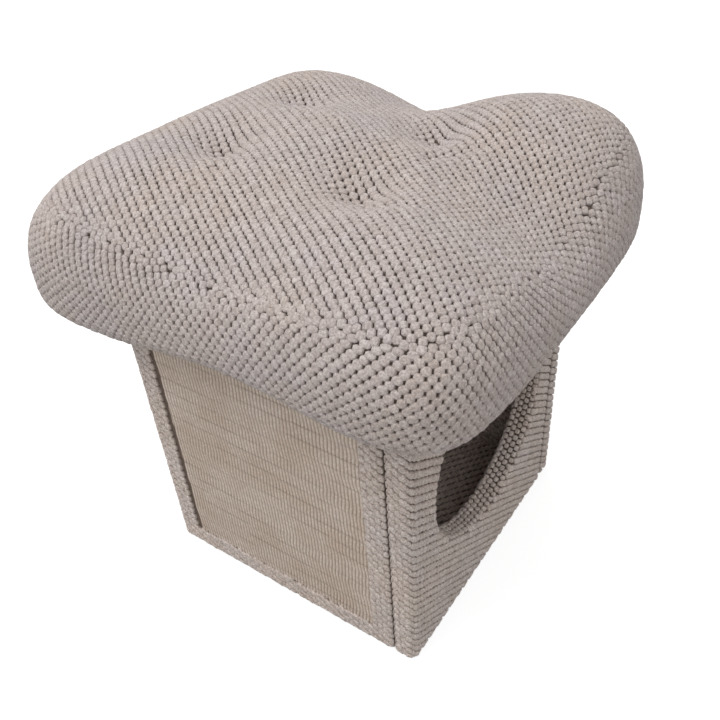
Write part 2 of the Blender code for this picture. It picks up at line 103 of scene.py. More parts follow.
# Half sizes as shares of the steps in and between rows, and how slanted a bobble is
TOP_FILL = (0.455, 0.76, 0.0)
SIDE_FILL = (0.425, 0.79, 0.0)
WALL_FILL = (0.422, 0.66, 0.5)
DOOR_FILL = (0.43, 0.51, 0.0)

# Steps in a row and to the next row, on cloth that is laid flat
WALL_STEPS = ((0.0, 0.01015), (-0.0061, 0.0044))
TOP_STEPS = ((0.0038, -0.0075), (0.0068, -0.0030))
SIDE_STEP = 0.0090
SIDE_ROW = 0.0053
SIDE_LEAN = 0.54  # how far each row is shifted along the one below, as a share of the step
SIDE_ROWS = 31  # most rows above the widest line, and below it
SIDE_WAVE = 0.0127  # how far the rows round the sides rise and fall
SIDE_WAVES = 4  # how often they do, once round
HEM_ROOM = 0.002  # between the lowest row and the end of the hem
SHOULDER = 0.90  # where the lattice of the cushion's top meets that of its sides
TOP_REACH = 0.36  # no bobble of the top is further from its middle, along the cloth

# Where those two lattices meet
CLEAR = 0.0042  # a bobble of the top this near to one of the sides is left out
ROOM = 0.0052  # a place this far from every bobble gets another one
SEARCHED = 0.016  # how far from the other lattice such places are looked for
LOOSE = 0.012  # bobbles this near to the other lattice move and turn
SPACING = 0.0067  # how far apart they are pushed
BLENDED = 0.013  # how far round each one the mean way is taken

DOOR_PITCH = 0.0056  # between the rows through the doorway
DOOR_COLUMNS = 94
DOOR_STAGGER = 0.38  # how far each of them is shifted, as a share of the step
SEAM_EASE = 0.0025  # how far the rounding of a butting edge runs past the seam
FLOOR_EASE = 0.003  # how far the rounding of the bottom edge runs below the floor

# Where the panels' bobbles stop
EDGE_ROOM = 0.0015  # before the slit and the edges of the sisal's window
BACK_ROOM = 0.0032  # before the window's edge at the back
END_ROOM = (0.001, 0.0022)  # before the lower and upper edge of the strip round a panel's end
FLOOR_LAP = 0.004  # below the cabin's floor
PANEL_LAP = 0.002  # behind the next panel
LIP_LAP = 0.0044  # past the rim of the doorway
SISAL_ROW = 0.0025  # below the sisal's window, in the row next to it
SISAL_PULL = 0.0055  # bobbles this far above that row are moved down to it

# Sisal
RIB_PITCH = 0.004
RIB_STEPS = 6
WEFT_PITCH = 0.0172
SISAL_ROWS = 138

# Studio. The camera was fitted to the box's edges: its focal length is in pixels of the frame, and its axes
# point right, up and back.
FRAME = 720
FOCAL = 823.7
SENSOR = 36.0
CAMERA_PLACE = (-0.53818, -0.40732, 0.76677)
CAMERA_AXES = ((0.56161, -0.82514, -0.06108), (0.54996, 0.31712, 0.77264), (-0.61817, -0.46752, 0.63189))
SKY = (0.14, 1.05)  # strength at the horizon and overhead
LAMPS = (("key", (-1.0, 0.7, 2.2), 1.3, 17.0), ("fill", (-1.5, -1.1, 0.9), 1.5, 3.5))  # place, size, watts
LIT = (0, 0, 0.25)  # where the lamps point
FLOOR_GREY = 0.42
FLOOR_GLOW = 0.78


def linear(srgb):
    """Screen values from 0 to 255 as linear colour."""
    return [((v / 255 + 0.055) / 1.055) ** 2.4 for v in srgb] + [1.0]


# Vectors


def unit(vectors):
    return vectors / np.maximum(np.linalg.norm(vectors, axis=-1, keepdims=True), 1e-9)


def without(vectors, directions):
    """What is left of each vector when its part along a unit direction is taken away."""
    return vectors - directions * np.sum(vectors * directions, axis=-1, keepdims=True)


def hump(x, middle, width):
    """1 at the middle, falling to 0 on both sides."""
    return np.exp(-(((x - middle) / width) ** 2))


def superellipse(x, y, power):
    return (np.abs(x) ** power + np.abs(y) ** power) ** (1 / power)


def lattice(steps, in_row, rows):
    """Places on flat cloth, a step apart in a row and from row to row."""
    first, second = np.array(steps)
    i, j = np.meshgrid(np.arange(*in_row), np.arange(*rows))
    return i.ravel()[:, None] * first + j.ravel()[:, None] * second


# Mesh building


def linked(name, data):
    """A new object in the scene."""
    obj = bpy.data.objects.new(name, data)
    bpy.context.scene.collection.objects.link(obj)
    return obj


def build_mesh(name, points, faces, material, body):
    """An object of points and of arrays of faces with one corner count each. It rides on the body."""
    mesh = bpy.data.meshes.new(name)
    loops = np.concatenate([part.ravel() for part in faces])
    sizes = np.concatenate([np.full(len(part), part.shape[1]) for part in faces])
    starts = np.concatenate([[0], np.cumsum(sizes)[:-1]])
    mesh.vertices.add(len(points))
    mesh.vertices.foreach_set("co", np.asarray(points, dtype=np.float32).ravel())
    mesh.loops.add(len(loops))
    mesh.loops.foreach_set("vertex_index", loops.astype(np.int32))
    mesh.polygons.add(len(sizes))
    mesh.polygons.foreach_set("loop_start", starts.astype(np.int32))
    mesh.polygons.foreach_set("loop_total", sizes.astype(np.int32))
    mesh.update(calc_edges=True)
    mesh.polygons.foreach_set("use_smooth", np.ones(len(sizes), dtype=bool))
    mesh.materials.append(material)
    obj = linked(name, mesh)
    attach(obj, body)
    return obj


def plain_mesh(name, shape):
    """An object of (corners, faces), such as one that cuts another."""
    mesh = bpy.data.meshes.new(name)
    points, faces = shape
    mesh.from_pydata(points, [], faces)
    return linked(name, mesh)


def store(obj, name, values):
    layer = obj.data.attributes.new(name, "FLOAT", "POINT")
    layer.data.foreach_set("value", np.asarray(values, dtype=np.float32))


def grid_faces(rows, columns, closed=False):
    """Quads of a grid of points, row by row. A closed grid joins its last column to its first."""
    across = columns if closed else columns - 1
    row, column = np.meshgrid(np.arange(rows - 1), np.arange(across), indexing="ij")
    low, high, right = row * columns, (row + 1) * columns, (column + 1) % columns
    return np.stack((low + column, low + right, high + right, high + column), axis=-1).reshape(-1, 4)


# Bobbles


def dome(sides):
    """Points of one squarish bobble as shares of its half sizes and of its height, and its faces."""
    turn = 2 * math.pi * (np.arange(sides) + 0.5) / sides
    x, y = (np.sign(part) * np.abs(part) ** (2 / SQUARENESS) for part in (np.cos(turn), np.sin(turn)))
    points = [np.array(((0.0, 0.0, 1.0),))]
    for reach, level in RINGS:
        points.append(np.stack((reach * x, reach * y, np.full(sides, level)), axis=1))
    first = 1 + np.arange(sides)
    after = 1 + (np.arange(sides) + 1) % sides
    fan = np.stack((np.zeros(sides, dtype=int), first, after), axis=1)
    bands = [
        np.stack((first + inner, first + inner + sides, after + inner + sides, after + inner), axis=1)
        for inner in sides * np.arange(len(RINGS) - 1)
    ]
    return np.concatenate(points), fan, np.concatenate(bands)


def bobble_points(places, normals, steps, fill, template, rng):
    """The corners of every bobble, each a little different."""
    long, wide, slant = fill
    count = len(places)
    normals = unit(normals + rng.normal(0, LUMPY, normals.shape))
    spread = 1 + rng.normal(0, LUMPY, (count, 3))
    lumps = 1 + rng.normal(0, LUMPY, (count, len(template)))
    points = np.repeat((places + PROUD * normals)[:, None, :], len(template), axis=1)
    along, across = (without(step, normals) for step in steps)
    across = slant * across + (1 - slant) * without(across, unit(along))
    length = np.linalg.norm(along, axis=1, keepdims=True)
    # The slits are as wide where the cloth is stretched
    long = MERGED - (MERGED - long) * np.median(length) / length
    for axis, (step, reach) in enumerate(((along, long), (across, wide))):
        share = template[None, :, axis] * lumps * spread[:, axis : axis + 1] * reach
        points += share[..., None] * step[:, None, :]
    rise = (template[None, :, 2] - 1) * PILE * spread[:, 2:]
    sink = np.abs(rng.normal(0, SETTLED, (count, 1)))
    points += (rise - sink)[..., None] * normals[:, None, :]
    points[..., 2] = np.maximum(points[..., 2], LOWEST)
    return points


def bobbles(name, places, normals, steps, fill, material, body, slot, sides=8, seed=1):
    """A soft dome at each place, whose tip stands a little past it. Steps are the ways to the next bobble
    of its row and to the next row."""
    rng = np.random.default_rng(seed)
    template, fan, bands = dome(sides)
    points = bobble_points(places, normals, steps, fill, template, rng)
    count = len(places)
    shift = (np.arange(count) * len(template))[:, None, None]
    tris = (fan[None] + shift).reshape(-1, 3)
    quads = (bands[None] + shift).reshape(-1, 4)
    obj = build_mesh(name, points.reshape(-1, 3), [tris, quads], material, body)
    store(obj, "foot", np.tile(1 - template[:, 2], count))
    store(obj, "tone", np.repeat(rng.random(count), len(template)))


# Cushion


def stuffing_lift(x, y):
    """How far the stuffing is over or under a plain crown: full corners and sunk middles of the sides."""
    across, along = x / CUSHION_HALF_X, y / CUSHION_HALF_Y
    lift = np.zeros_like(x)
    for i, j, swell in SWELLS:
        lift += swell * np.maximum(i * across, 0) * np.maximum(j * along, 0)
    for i, sunk in VALLEYS_X:
        lift -= sunk * np.maximum(i * across, 0) * hump(y, 0, VALLEY_WIDTH)
    for j, sunk in VALLEYS_Y:
        lift -= sunk * np.maximum(j * along, 0) * hump(x, 0, VALLEY_WIDTH)
    return lift


def crease_depth(x, y):
    depth = np.zeros_like(x)
    for start, end, deep, wide in CREASES:
        run = np.array(end) - np.array(start)
        share = np.clip(((x - start[0]) * run[0] + (y - start[1]) * run[1]) / (run @ run), 0, 1)
        away = np.hypot(x - start[0] - share * run[0], y - start[1] - share * run[1])
        depth += deep * (1 - 0.5 * share) * hump(away, 0, wide)
    return depth


def drawn_in(x, y):
    """Places with the cushion's slack corners and the middle of its left side drawn inwards."""
    across, along = x / CUSHION_HALF_X, y / CUSHION_HALF_Y
    draw = np.zeros_like(x)
    for i, j, share in DRAWN:
        draw += share * np.maximum(i * across, 0) ** 2 * np.maximum(j * along, 0) ** 2
    deep, middle, width = LEFT_SUNK
    sunk = deep * np.maximum(-across, 0) ** 2 * hump(y, middle, width)
    return x * (1 - draw - sunk), y * (1 - draw)


def crown_height(x, y, rise, tufted):
    height = (CUSHION_RISE + stuffing_lift(x, y)) * rise
    if tufted:
        for i, j in TUFTS:
            away = ((x - i) ** 2 + (y - j) ** 2) / TUFT_WIDTH**2
            height = height - TUFT_DEPTH * np.exp(-(away**TUFT_FALL))
        height = height - crease_depth(x, y)
    return CUSHION_Z + np.maximum(height, 0)


def crown_lines(plan, cos, sin, tufted):
    """From the middle of the crown to the widest line."""
    turn = np.linspace(0, math.pi / 2, TOP_RINGS)[None, :]
    ring, rise = np.sin(turn) ** (2 / CROWN_POWER), np.maximum(np.cos(turn), 0) ** (2 / CROWN_POWER)
    x, y = plan * ring * cos, plan * ring * sin
    return np.stack((*drawn_in(x, y), crown_height(x, y, rise, tufted)), axis=-1)


def belly_lines(plan, cos, sin):
    """From the widest line to the end of the hem."""
    a, b = plan * cos / CUSHION_HALF_X, plan * sin / CUSHION_HALF_Y
    square = np.maximum(np.abs(a), np.abs(b))
    a, b = a / square, b / square
    full = superellipse(a, b, PLAN_POWER)
    level = np.linspace(0, 1, BELLY_RINGS)[None, 1:]
    power = BELLY_POWER
    for (soft, middle, width), facing, along in ((LEFT_SOFT, -a, b), (FRONT_SOFT, -b, a)):
        power = power - soft * np.maximum(facing, 0) ** SOFT_FALL * hump(along, middle, width)
    reach = (full**power + level**power) ** (1 / power)
    x, y = drawn_in(CUSHION_HALF_X * a / reach, CUSHION_HALF_Y * b / reach)
    belly = np.stack(np.broadcast_arrays(x, y, CUSHION_Z - CUSHION_DROP * level / reach), axis=-1)
    hem = HEM_HALF / superellipse(a, b, HEM_POWER)
    ends = np.stack((a * hem, b * hem, np.full_like(a, HEM_Z)), axis=-1)
    share = np.linspace(0, 1, HEM_RINGS)[None, 1:, None]
    slope = belly[:, -1:, :] * (1 - share) + ends * share
    return np.concatenate((belly, slope), axis=1)


def cushion_lines(theta, tufted=True):
    """Points down the cushion's outside in each direction: crown, widest line, end of the hem."""
    cos, sin = np.cos(theta)[:, None], np.sin(theta)[:, None]
    plan = 1 / superellipse(cos / CUSHION_HALF_X, sin / CUSHION_HALF_Y, PLAN_POWER)
    return np.concatenate((crown_lines(plan, cos, sin, tufted), belly_lines(plan, cos, sin)), axis=1)


def lengths(lines):
    """How far along each line its points are."""
    steps = np.linalg.norm(np.diff(lines, axis=1), axis=-1)
    return np.concatenate((np.zeros((len(lines), 1)), np.cumsum(steps, axis=1)), axis=1)


def cushion_at(theta, up):
    """Points of the cushion's outside in each direction, so far up the cloth from its widest line."""
    run = lengths(cushion_lines(theta, tufted=False))
    lines = cushion_lines(theta)
    target = np.clip(run[:, TOP_RINGS - 1] - up, 0, run[:, -1] - 1e-6)
    index = np.clip((run <= target[:, None]).sum(axis=1) - 1, 0, run.shape[1] - 2)
    rows = np.arange(len(theta))
    share = (target - run[rows, index]) / np.maximum(run[rows, index + 1] - run[rows, index], 1e-9)
    return lines[rows, index] * (1 - share[:, None]) + lines[rows, index + 1] * share[:, None]


def shoulder(run):
    """How far from the crown's middle, along the cloth, the lattice of the top ends in each direction."""
    turn = math.asin(SHOULDER ** (CROWN_POWER / 2)) / (math.pi / 2)
    place = turn * (TOP_RINGS - 1)
    index = int(place)
    return run[:, index] + (place - index) * (run[:, index + 1] - run[:, index])


def polar(cloth):
    return np.arctan2(cloth[:, 1], cloth[:, 0]), np.hypot(cloth[:, 0], cloth[:, 1])


def on_top(cloth):
    """The point of the cushion's outside under each place of a cloth that was laid flat on its middle."""
    theta, away = polar(cloth)
    widest = lengths(cushion_lines(theta, tufted=False))[:, TOP_RINGS - 1]
    return cushion_at(theta, widest - away)


def top_lattice():
    """Points, normals and steps of the bobbles on the cushion's top."""
    cloth = lattice(TOP_STEPS, (-90, 91), (-90, 91))
    cloth = cloth[polar(cloth)[1] < TOP_REACH]
    theta, away = polar(cloth)
    cloth = cloth[away < shoulder(lengths(cushion_lines(theta, tufted=False)))]
    parts = 0.2 * np.array(TOP_STEPS)
    steps = [2.5 * (on_top(cloth + part) - on_top(cloth - part)) for part in parts]
    return on_top(cloth), unit(np.cross(*steps)), np.stack(steps, axis=1)


def side_places():
    """For each bobble of the sides its direction, its way up from the widest line, its row's slope, the step
    to the next one, and the shift to the next row, which keeps rows evenly staggered where they slope."""
    angles = np.linspace(-math.pi, math.pi, 1441)
    lines = cushion_lines(angles, tufted=False)
    widest = lines[:, TOP_RINGS - 1]
    around = np.concatenate(([0], np.cumsum(np.linalg.norm(np.diff(widest, axis=0), axis=1))))
    run = lengths(lines)
    above = run[:, TOP_RINGS - 1] - shoulder(run)
    below = run[:, -1] - run[:, TOP_RINGS - 1]
    count = round(around[-1] / SIDE_STEP)
    turn = 2 * math.pi * SIDE_WAVES / around[-1]
    found = []
    for way in (1, -1):
        run_on = around[-1] * np.arange(count) / count
        for row in range(SIDE_ROWS):
            s = run_on % around[-1]
            slope = SIDE_WAVE * turn * np.cos(turn * s)
            shift = SIDE_STEP * SIDE_LEAN - SIDE_ROW * slope
            angle = np.interp(s, around, angles)
            height = way * row * SIDE_ROW + SIDE_WAVE * np.sin(turn * s)
            keep = height < np.interp(angle, angles, above)
            keep &= height > HEM_ROOM - np.interp(angle, angles, below)
            keep &= way > 0 or row > 0
            found.append(np.stack((angle, height, slope, np.gradient(run_on), shift))[:, keep])
            run_on = run_on + way * shift
    return np.concatenate(found, axis=1)


def side_lattice():
    """Points, normals and steps of the bobbles round the cushion's sides, in rows that rise and fall."""
    theta, up, slope, apart, shift = side_places()
    level = unit(cushion_at(theta + 0.004, up) - cushion_at(theta - 0.004, up))
    rising = unit(cushion_at(theta, up + 0.0015) - cushion_at(theta, up - 0.0015))
    onward = level + slope[:, None] * rising
    steps = np.stack((apart[:, None] * onward, shift[:, None] * onward + SIDE_ROW * rising), axis=1)
    # Where the rows run against those of the top they are turned half round, so that the two can be blended
    steps[onward @ unit(np.array((*TOP_STEPS[0], 0.0))) < -0.5] *= -1
    return cushion_at(theta, up), unit(np.cross(level, rising)), steps


def tree_of(points):
    tree = KDTree(len(points))
    for index, point in enumerate(points):
        tree.insert(point, index)
    tree.balance()
    return tree


def nearest(points, tree):
    return np.array([tree.find(point)[2] for point in points])


def fill_holes(points, steps, near):
    """Places next to the near points that have room for another bobble, and whose steps they take."""
    tree = tree_of(points)
    places, parents = [], []
    for index in near:
        first, second = steps[index]
        for turn in np.arange(12) * math.pi / 6:
            place = points[index] + 0.7 * (first * math.cos(turn) + second * math.sin(turn))
            crowded = tree.find(place)[2] < ROOM
            if not crowded and all(np.linalg.norm(place - other) > ROOM for other in places):
                places.append(place)
                parents.append(index)
    return np.array(places).reshape(-1, 3), np.array(parents, dtype=int)


def spread_out(points, normals, loose):
    """Pushes the loose points away from their neighbours along the cloth, until they lie evenly."""
    for _ in range(8):
        tree = tree_of(points)
        moved_to = points.copy()
        for index in loose:
            push = np.zeros(3)
            for place, other, distance in tree.find_range(points[index], SPACING):
                if other != index:
                    push += (points[index] - np.array(place)) / max(distance, 1e-6) * (SPACING - distance)
            push -= normals[index] * (push @ normals[index])
            moved_to[index] += 0.3 * push
        points = moved_to
    return points


def blend_steps(points, steps, loose):
    """Turns the loose bobbles to the mean way of those round them, which joins the two lattices softly."""
    tree = tree_of(points)
    rings = [[other for _, other, _ in tree.find_range(points[index], BLENDED)] for index in loose]
    for _ in range(4):
        means = np.array([steps[ring].mean(axis=0) for ring in rings])
        steps[loose] = unit(means) * np.linalg.norm(steps[loose], axis=-1, keepdims=True)
    return steps


def cushion_lattice():
    """The two lattices joined: points, normals, steps, and which of them are the top's."""
    side, top = side_lattice(), top_lattice()
    clear = nearest(top[0], tree_of(side[0])) > CLEAR
    points, normals, steps = (np.concatenate((a, b[clear])) for a, b in zip(side, top))
    is_top = np.arange(len(points)) >= len(side[0])
    tops, sides = tree_of(points[is_top]), tree_of(points[~is_top])
    away = np.where(is_top, nearest(points, sides), nearest(points, tops))
    extra, parents = fill_holes(points, steps, np.flatnonzero(away < SEARCHED))
    loose = np.concatenate((np.flatnonzero(away < LOOSE), len(points) + np.arange(len(extra))))
    points = np.concatenate((points, extra))
    normals, steps, is_top = (np.concatenate((part, part[parents])) for part in (normals, steps, is_top))
    points = spread_out(points, normals, loose)
    return points, normals, blend_steps(points, steps, loose), is_top


def cushion_skin():
    """Points and faces of the cushion's backing: outside, hem tucked in to the lid board, and floor."""
    theta = np.linspace(-math.pi, math.pi, COLUMNS, endpoint=False)
    lines = cushion_lines(theta)
    level = np.roll(lines, -1, axis=0) - np.roll(lines, 1, axis=0)
    rising = -np.gradient(lines, axis=1)
    normals = unit(np.cross(level, rising))
    normals[:, 0] = (0, 0, 1)
    inset = np.full(lines.shape[1], BACKING)
    inset[-3:] = 0
    skin = lines - normals * inset[None, :, None]
    hem = skin[:, -1:].copy()
    scale = BASE_HALF / np.maximum(np.abs(hem[..., 0]), np.abs(hem[..., 1]))
    tucked = hem * np.stack((scale, scale, np.ones_like(scale)), axis=-1)
    closed = tucked + np.array((0, 0, LID_UNDER - HEM_Z))
    skin = np.concatenate((skin, tucked, closed), axis=1)
    rows = skin.shape[1]
    points = np.concatenate((skin[:, 1:].transpose(1, 0, 2).reshape(-1, 3), skin[:1, 0], [(0, 0, LID_UNDER)]))
    quads = grid_faces(rows - 1, COLUMNS, closed=True)[:, ::-1]
    first = np.arange(COLUMNS)
    after = (first + 1) % COLUMNS
    pole, base = (rows - 1) * COLUMNS, (rows - 2) * COLUMNS
    fan = np.stack((np.full(COLUMNS, pole), first, after), axis=1)
    floor = np.stack((np.full(COLUMNS, pole + 1), base + after, base + first), axis=1)
    return points, [quads, fan, floor]


def make_cushion(plush, backing):
    """The cushion's cloth, a closed form round the lid board, and the bobbles on it."""
    cushion = build_mesh("cushion", *cushion_skin(), backing, "lid")
    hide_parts("cushion_cover", "cushion_filling")
    points, normals, steps, is_top = cushion_lattice()
    in_front = points[:, 1] < 0
    kinds = (("top", is_top, TOP_FILL), ("side", ~is_top, SIDE_FILL))
    for seed, (name, kind, fill) in enumerate(kinds):
        for half, part in (("front", kind & in_front), ("back", kind & ~in_front)):
            pile = (points[part], normals[part], (steps[part, 0], steps[part, 1]), fill)
            bobbles(f"cushion_pile_{name}_{half}", *pile, plush, "lid", "cushion_plush", seed=seed)


# Panels


def panel_matrix(name):
    """Places a panel: u along it, v into the box and z up from its outer lower corner."""
    quarter = ("front", "right", "back", "left").index(name)
    corner = ((-1, -1), (1, -1), (1, 1), (-1, 1))[quarter]
    place = Matrix.Translation((corner[0] * BOX / 2, corner[1] * BOX / 2, 0))
    return np.array(place @ Matrix.Rotation(math.radians(90 * quarter), 4, "Z"))


def moved(matrix, points):
    return points @ matrix[:3, :3].T + matrix[:3, 3]


def turned(matrix, vectors):
    return vectors @ matrix[:3, :3].T


def rounded(points, low, high, radius):
    """Points of a sharp box pressed onto the box with rounded edges, and their normals."""
    core = np.clip(points, np.asarray(low) + radius, np.asarray(high) - radius)
    normals = unit(points - core)
    return core + normals * radius, normals


def fold(flat):
    """A panel's plush laid flat, as points of its sharp box. Flat u below 0 goes round the end, and flat z
    goes up the outside, over the top, down the inside, and under at both ends."""
    u, z = flat[:, 0], flat[:, 1]
    over, inside = z - HEIGHT, z - HEIGHT - PANEL
    points = np.stack((np.maximum(u, 0), np.clip(-u, 0, PANEL), z), axis=1)
    for where, v, level in (
        (z < 0, -z, 0 * z),
        ((over > 0) & (inside <= 0), over, HEIGHT + 0 * z),
        ((inside > 0) & (inside <= HEIGHT), PANEL + 0 * z, HEIGHT - inside),
        (inside > HEIGHT, PANEL + HEIGHT - inside, 0 * z),
    ):
        points[where, 1] = v[where]
        points[where, 2] = level[where]
    return points


def wall_lattice():
    """Where a panel's bobbles are on its plush laid flat."""
    flat = lattice(WALL_STEPS, (-12, 100), (-55, 12))
    u, z = flat.T
    folded_under = PANEL / 2 - SLIT_WIDTH / 2 - EDGE_ROOM
    top = 2 * HEIGHT + PANEL + folded_under
    keep = (u > -PANEL) & (u < LENGTH) & (z > -folded_under) & (z < top)
    keep &= (u >= 0) | ((z > END_ROOM[0]) & (z < HEIGHT - END_ROOM[1]))
    return flat[keep]


def along_sisal(u):
    """Which places along the left panel are those of its sisal's window."""
    return (u > SISAL_BACK - BACK_ROOM) & (u < LENGTH - SISAL_FRONT + EDGE_ROOM)


def shown(name, flat):
    """Which bobbles of a panel aren't in the doorway or the sisal's window, or hidden inside."""
    u, z = flat[:, 0], flat[:, 1]
    inside = z > HEIGHT + PANEL
    level = np.where(inside, 2 * HEIGHT + PANEL - z, z)
    keep = ~(inside & (level > 0) & (level < FLOOR_TOP - FLOOR_LAP)) & ~(inside & (u < PANEL - PANEL_LAP))
    if name == "front":
        keep &= np.hypot(u - DOOR_U, level - DOOR_Z) > DOOR_RADIUS + DOOR_LIP - LIP_LAP
    if name == "left":
        window = (z > SISAL_BELOW - EDGE_ROOM) & (z < HEIGHT - SISAL_ABOVE + EDGE_ROOM)
        keep &= ~(window & along_sisal(u))
    return keep


def up_to_sisal(flat):
    """Moves the bobbles just above the sisal's lower edge down to it, so that no gap shows there."""
    edge = SISAL_BELOW - SISAL_ROW
    u, z = flat.T
    near = along_sisal(u) & (z > edge) & (z < edge + SISAL_PULL)
    return np.column_stack((u, np.where(near, edge, z)))


def over_lip(points, normals):
    """Turns the front panel's plush over the rounded rim of the doorway."""
    offset = points - (DOOR_U, 0, DOOR_Z)
    offset[:, 1] = 0
    away = np.linalg.norm(offset, axis=1)
    turn = np.clip((DOOR_RADIUS + DOOR_LIP - away) / DOOR_LIP, 0, math.pi / 2)[:, None]
    outward = offset / away[:, None]
    face = np.where(normals[:, 1:2] < 0, -1.0, 1.0)
    lip = points + outward * (DOOR_RADIUS + DOOR_LIP - DOOR_LIP * np.sin(turn) - away[:, None])
    lip[:, 1:2] -= face * DOOR_LIP * (1 - np.cos(turn))
    turned_over = unit(normals * np.cos(turn) - outward * np.sin(turn))
    return np.where(turn > 0, lip, points), np.where(turn > 0, turned_over, normals)


def on_panel(name, flat):
    """Points and outward normals of a panel's plush, from where they are on the plush laid flat."""
    low = np.array((0, 0, -FLOOR_EASE))
    high = np.tile((LENGTH + SEAM_EASE, PANEL, HEIGHT), (len(flat), 1))
    high[flat[:, 0] < 0, 1] += SEAM_EASE
    points, normals = rounded(fold(flat), low, high, EDGE_ROUND)
    if name == "front":
        points, normals = over_lip(points, normals)
    points[:, 2] = np.maximum(points[:, 2], PROUD + 0.0002)
    return points, normals


def make_panel(name, plush, backing):
    """A panel's plush: bobbles outside, simpler ones inside, and the backing."""
    matrix = panel_matrix(name)
    flat = wall_lattice()
    if name == "left":
        flat = up_to_sisal(flat)
    flat = flat[shown(name, flat)]
    points, normals = on_panel(name, flat)
    steps = [5 * (on_panel(name, flat + 0.2 * np.array(step))[0] - points) for step in WALL_STEPS]
    points, normals = moved(matrix, points), turned(matrix, normals)
    steps = [turned(matrix, step) for step in steps]
    inner = flat[:, 1] > HEIGHT + PANEL
    for suffix, part, sides in (("", ~inner, 8), ("_inner", inner, 6)):
        pile = (points[part], normals[part], [step[part] for step in steps], WALL_FILL)
        seed = len(name) + 20 * sides
        bobbles(f"{name}_pile{suffix}", *pile, plush, "house", "wall_plush", sides, seed)
    make_sleeve(name, backing)
    if name == "front":
        line_doorway(matrix, plush)


def box_body(low, high):
    corners = [(x, y, z) for x in (low[0], high[0]) for y in (low[1], high[1]) for z in (low[2], high[2])]
    faces = [(0, 1, 3, 2), (4, 6, 7, 5), (0, 4, 5, 1), (2, 3, 7, 6), (0, 2, 6, 4), (1, 5, 7, 3)]
    return corners, faces


def door_body(radius, sides=96):
    """A cylinder along Y with flared ends, which cuts the doorway's backing."""
    rings = [(-0.01, radius + DOOR_LIP), (0.0, radius + DOOR_LIP), (0.0015, radius + 0.0022), (0.005, radius)]
    rings += [(PANEL - v, r) for v, r in reversed(rings)]
    turns = [2 * math.pi * k / sides for k in range(sides)]
    points = [(DOOR_U + r * math.cos(turn), v, DOOR_Z + r * math.sin(turn)) for v, r in rings for turn in turns]
    faces = [tuple(int(i) for i in quad) for quad in grid_faces(len(rings), sides, closed=True)]
    faces.append(tuple(range(sides)))
    faces.append(tuple(reversed(range((len(rings) - 1) * sides, len(rings) * sides))))
    return points, faces


def round_edges(sleeve):
    """Rounds a sleeve's edges, and those at a seam with the next panel less."""
    weights = sleeve.data.attributes.new("bevel_weight_edge", "FLOAT", "EDGE")
    for edge in sleeve.data.edges:
        first, second = (sleeve.data.vertices[i].co for i in edge.vertices)
        middle = (first + second) / 2
        at_seam = middle.x > 0.6 * LENGTH and abs(first.x - second.x) < GAP
        at_seam = at_seam or (middle.x < 2 * BACKING and middle.y > 0.6 * PANEL)
        weights.data[edge.index].value = 0.4 if at_seam else 1.0
    bevel = sleeve.modifiers.new("round", "BEVEL")
    bevel.width, bevel.segments, bevel.limit_method = EDGE_ROUND - BACKING, 4, "WEIGHT"


def sleeve_cutters(name):
    """What cuts the slit under a panel, and its doorway or its sisal's window."""
    slit_low, slit_high = (PANEL - SLIT_WIDTH) / 2, (PANEL + SLIT_WIDTH) / 2
    cutters = [plain_mesh("slit", box_body((0.03, slit_low, -0.02), (LENGTH - 0.03, slit_high, 0.0048)))]
    if name == "front":
        cutters.append(plain_mesh("doorway", door_body(DOOR_RADIUS + BACKING)))
    if name == "left":
        window = ((SISAL_BACK, -0.02, SISAL_BELOW), (LENGTH - SISAL_FRONT, 0.0047, HEIGHT - SISAL_ABOVE))
        cutters.append(plain_mesh("window", box_body(*window)))
    return cutters


def make_sleeve(name, backing):
    """The backing of a panel's plush: a rounded sleeve, open at the doorway, the window and the slit."""
    low, high = (BACKING,) * 3, (LENGTH - 0.0002, PANEL - BACKING, HEIGHT - BACKING)
    sleeve = plain_mesh(f"{name}_sleeve", box_body(low, high))
    round_edges(sleeve)
    cutters = sleeve_cutters(name)
    for obj in cutters:
        hole = sleeve.modifiers.new(obj.name, "BOOLEAN")
        hole.operation, hole.object = "DIFFERENCE", obj
    bpy.context.view_layer.update()
    shape = bpy.data.meshes.new_from_object(sleeve.evaluated_get(bpy.context.evaluated_depsgraph_get()))
    sleeve.modifiers.clear()
    sleeve.data = shape
    shape.transform(Matrix(panel_matrix(name)))
    shape.materials.clear()
    shape.materials.append(backing)
    for obj in cutters:
        bpy.data.objects.remove(obj)
    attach(sleeve, "house")
    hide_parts(f"{name}_cover")


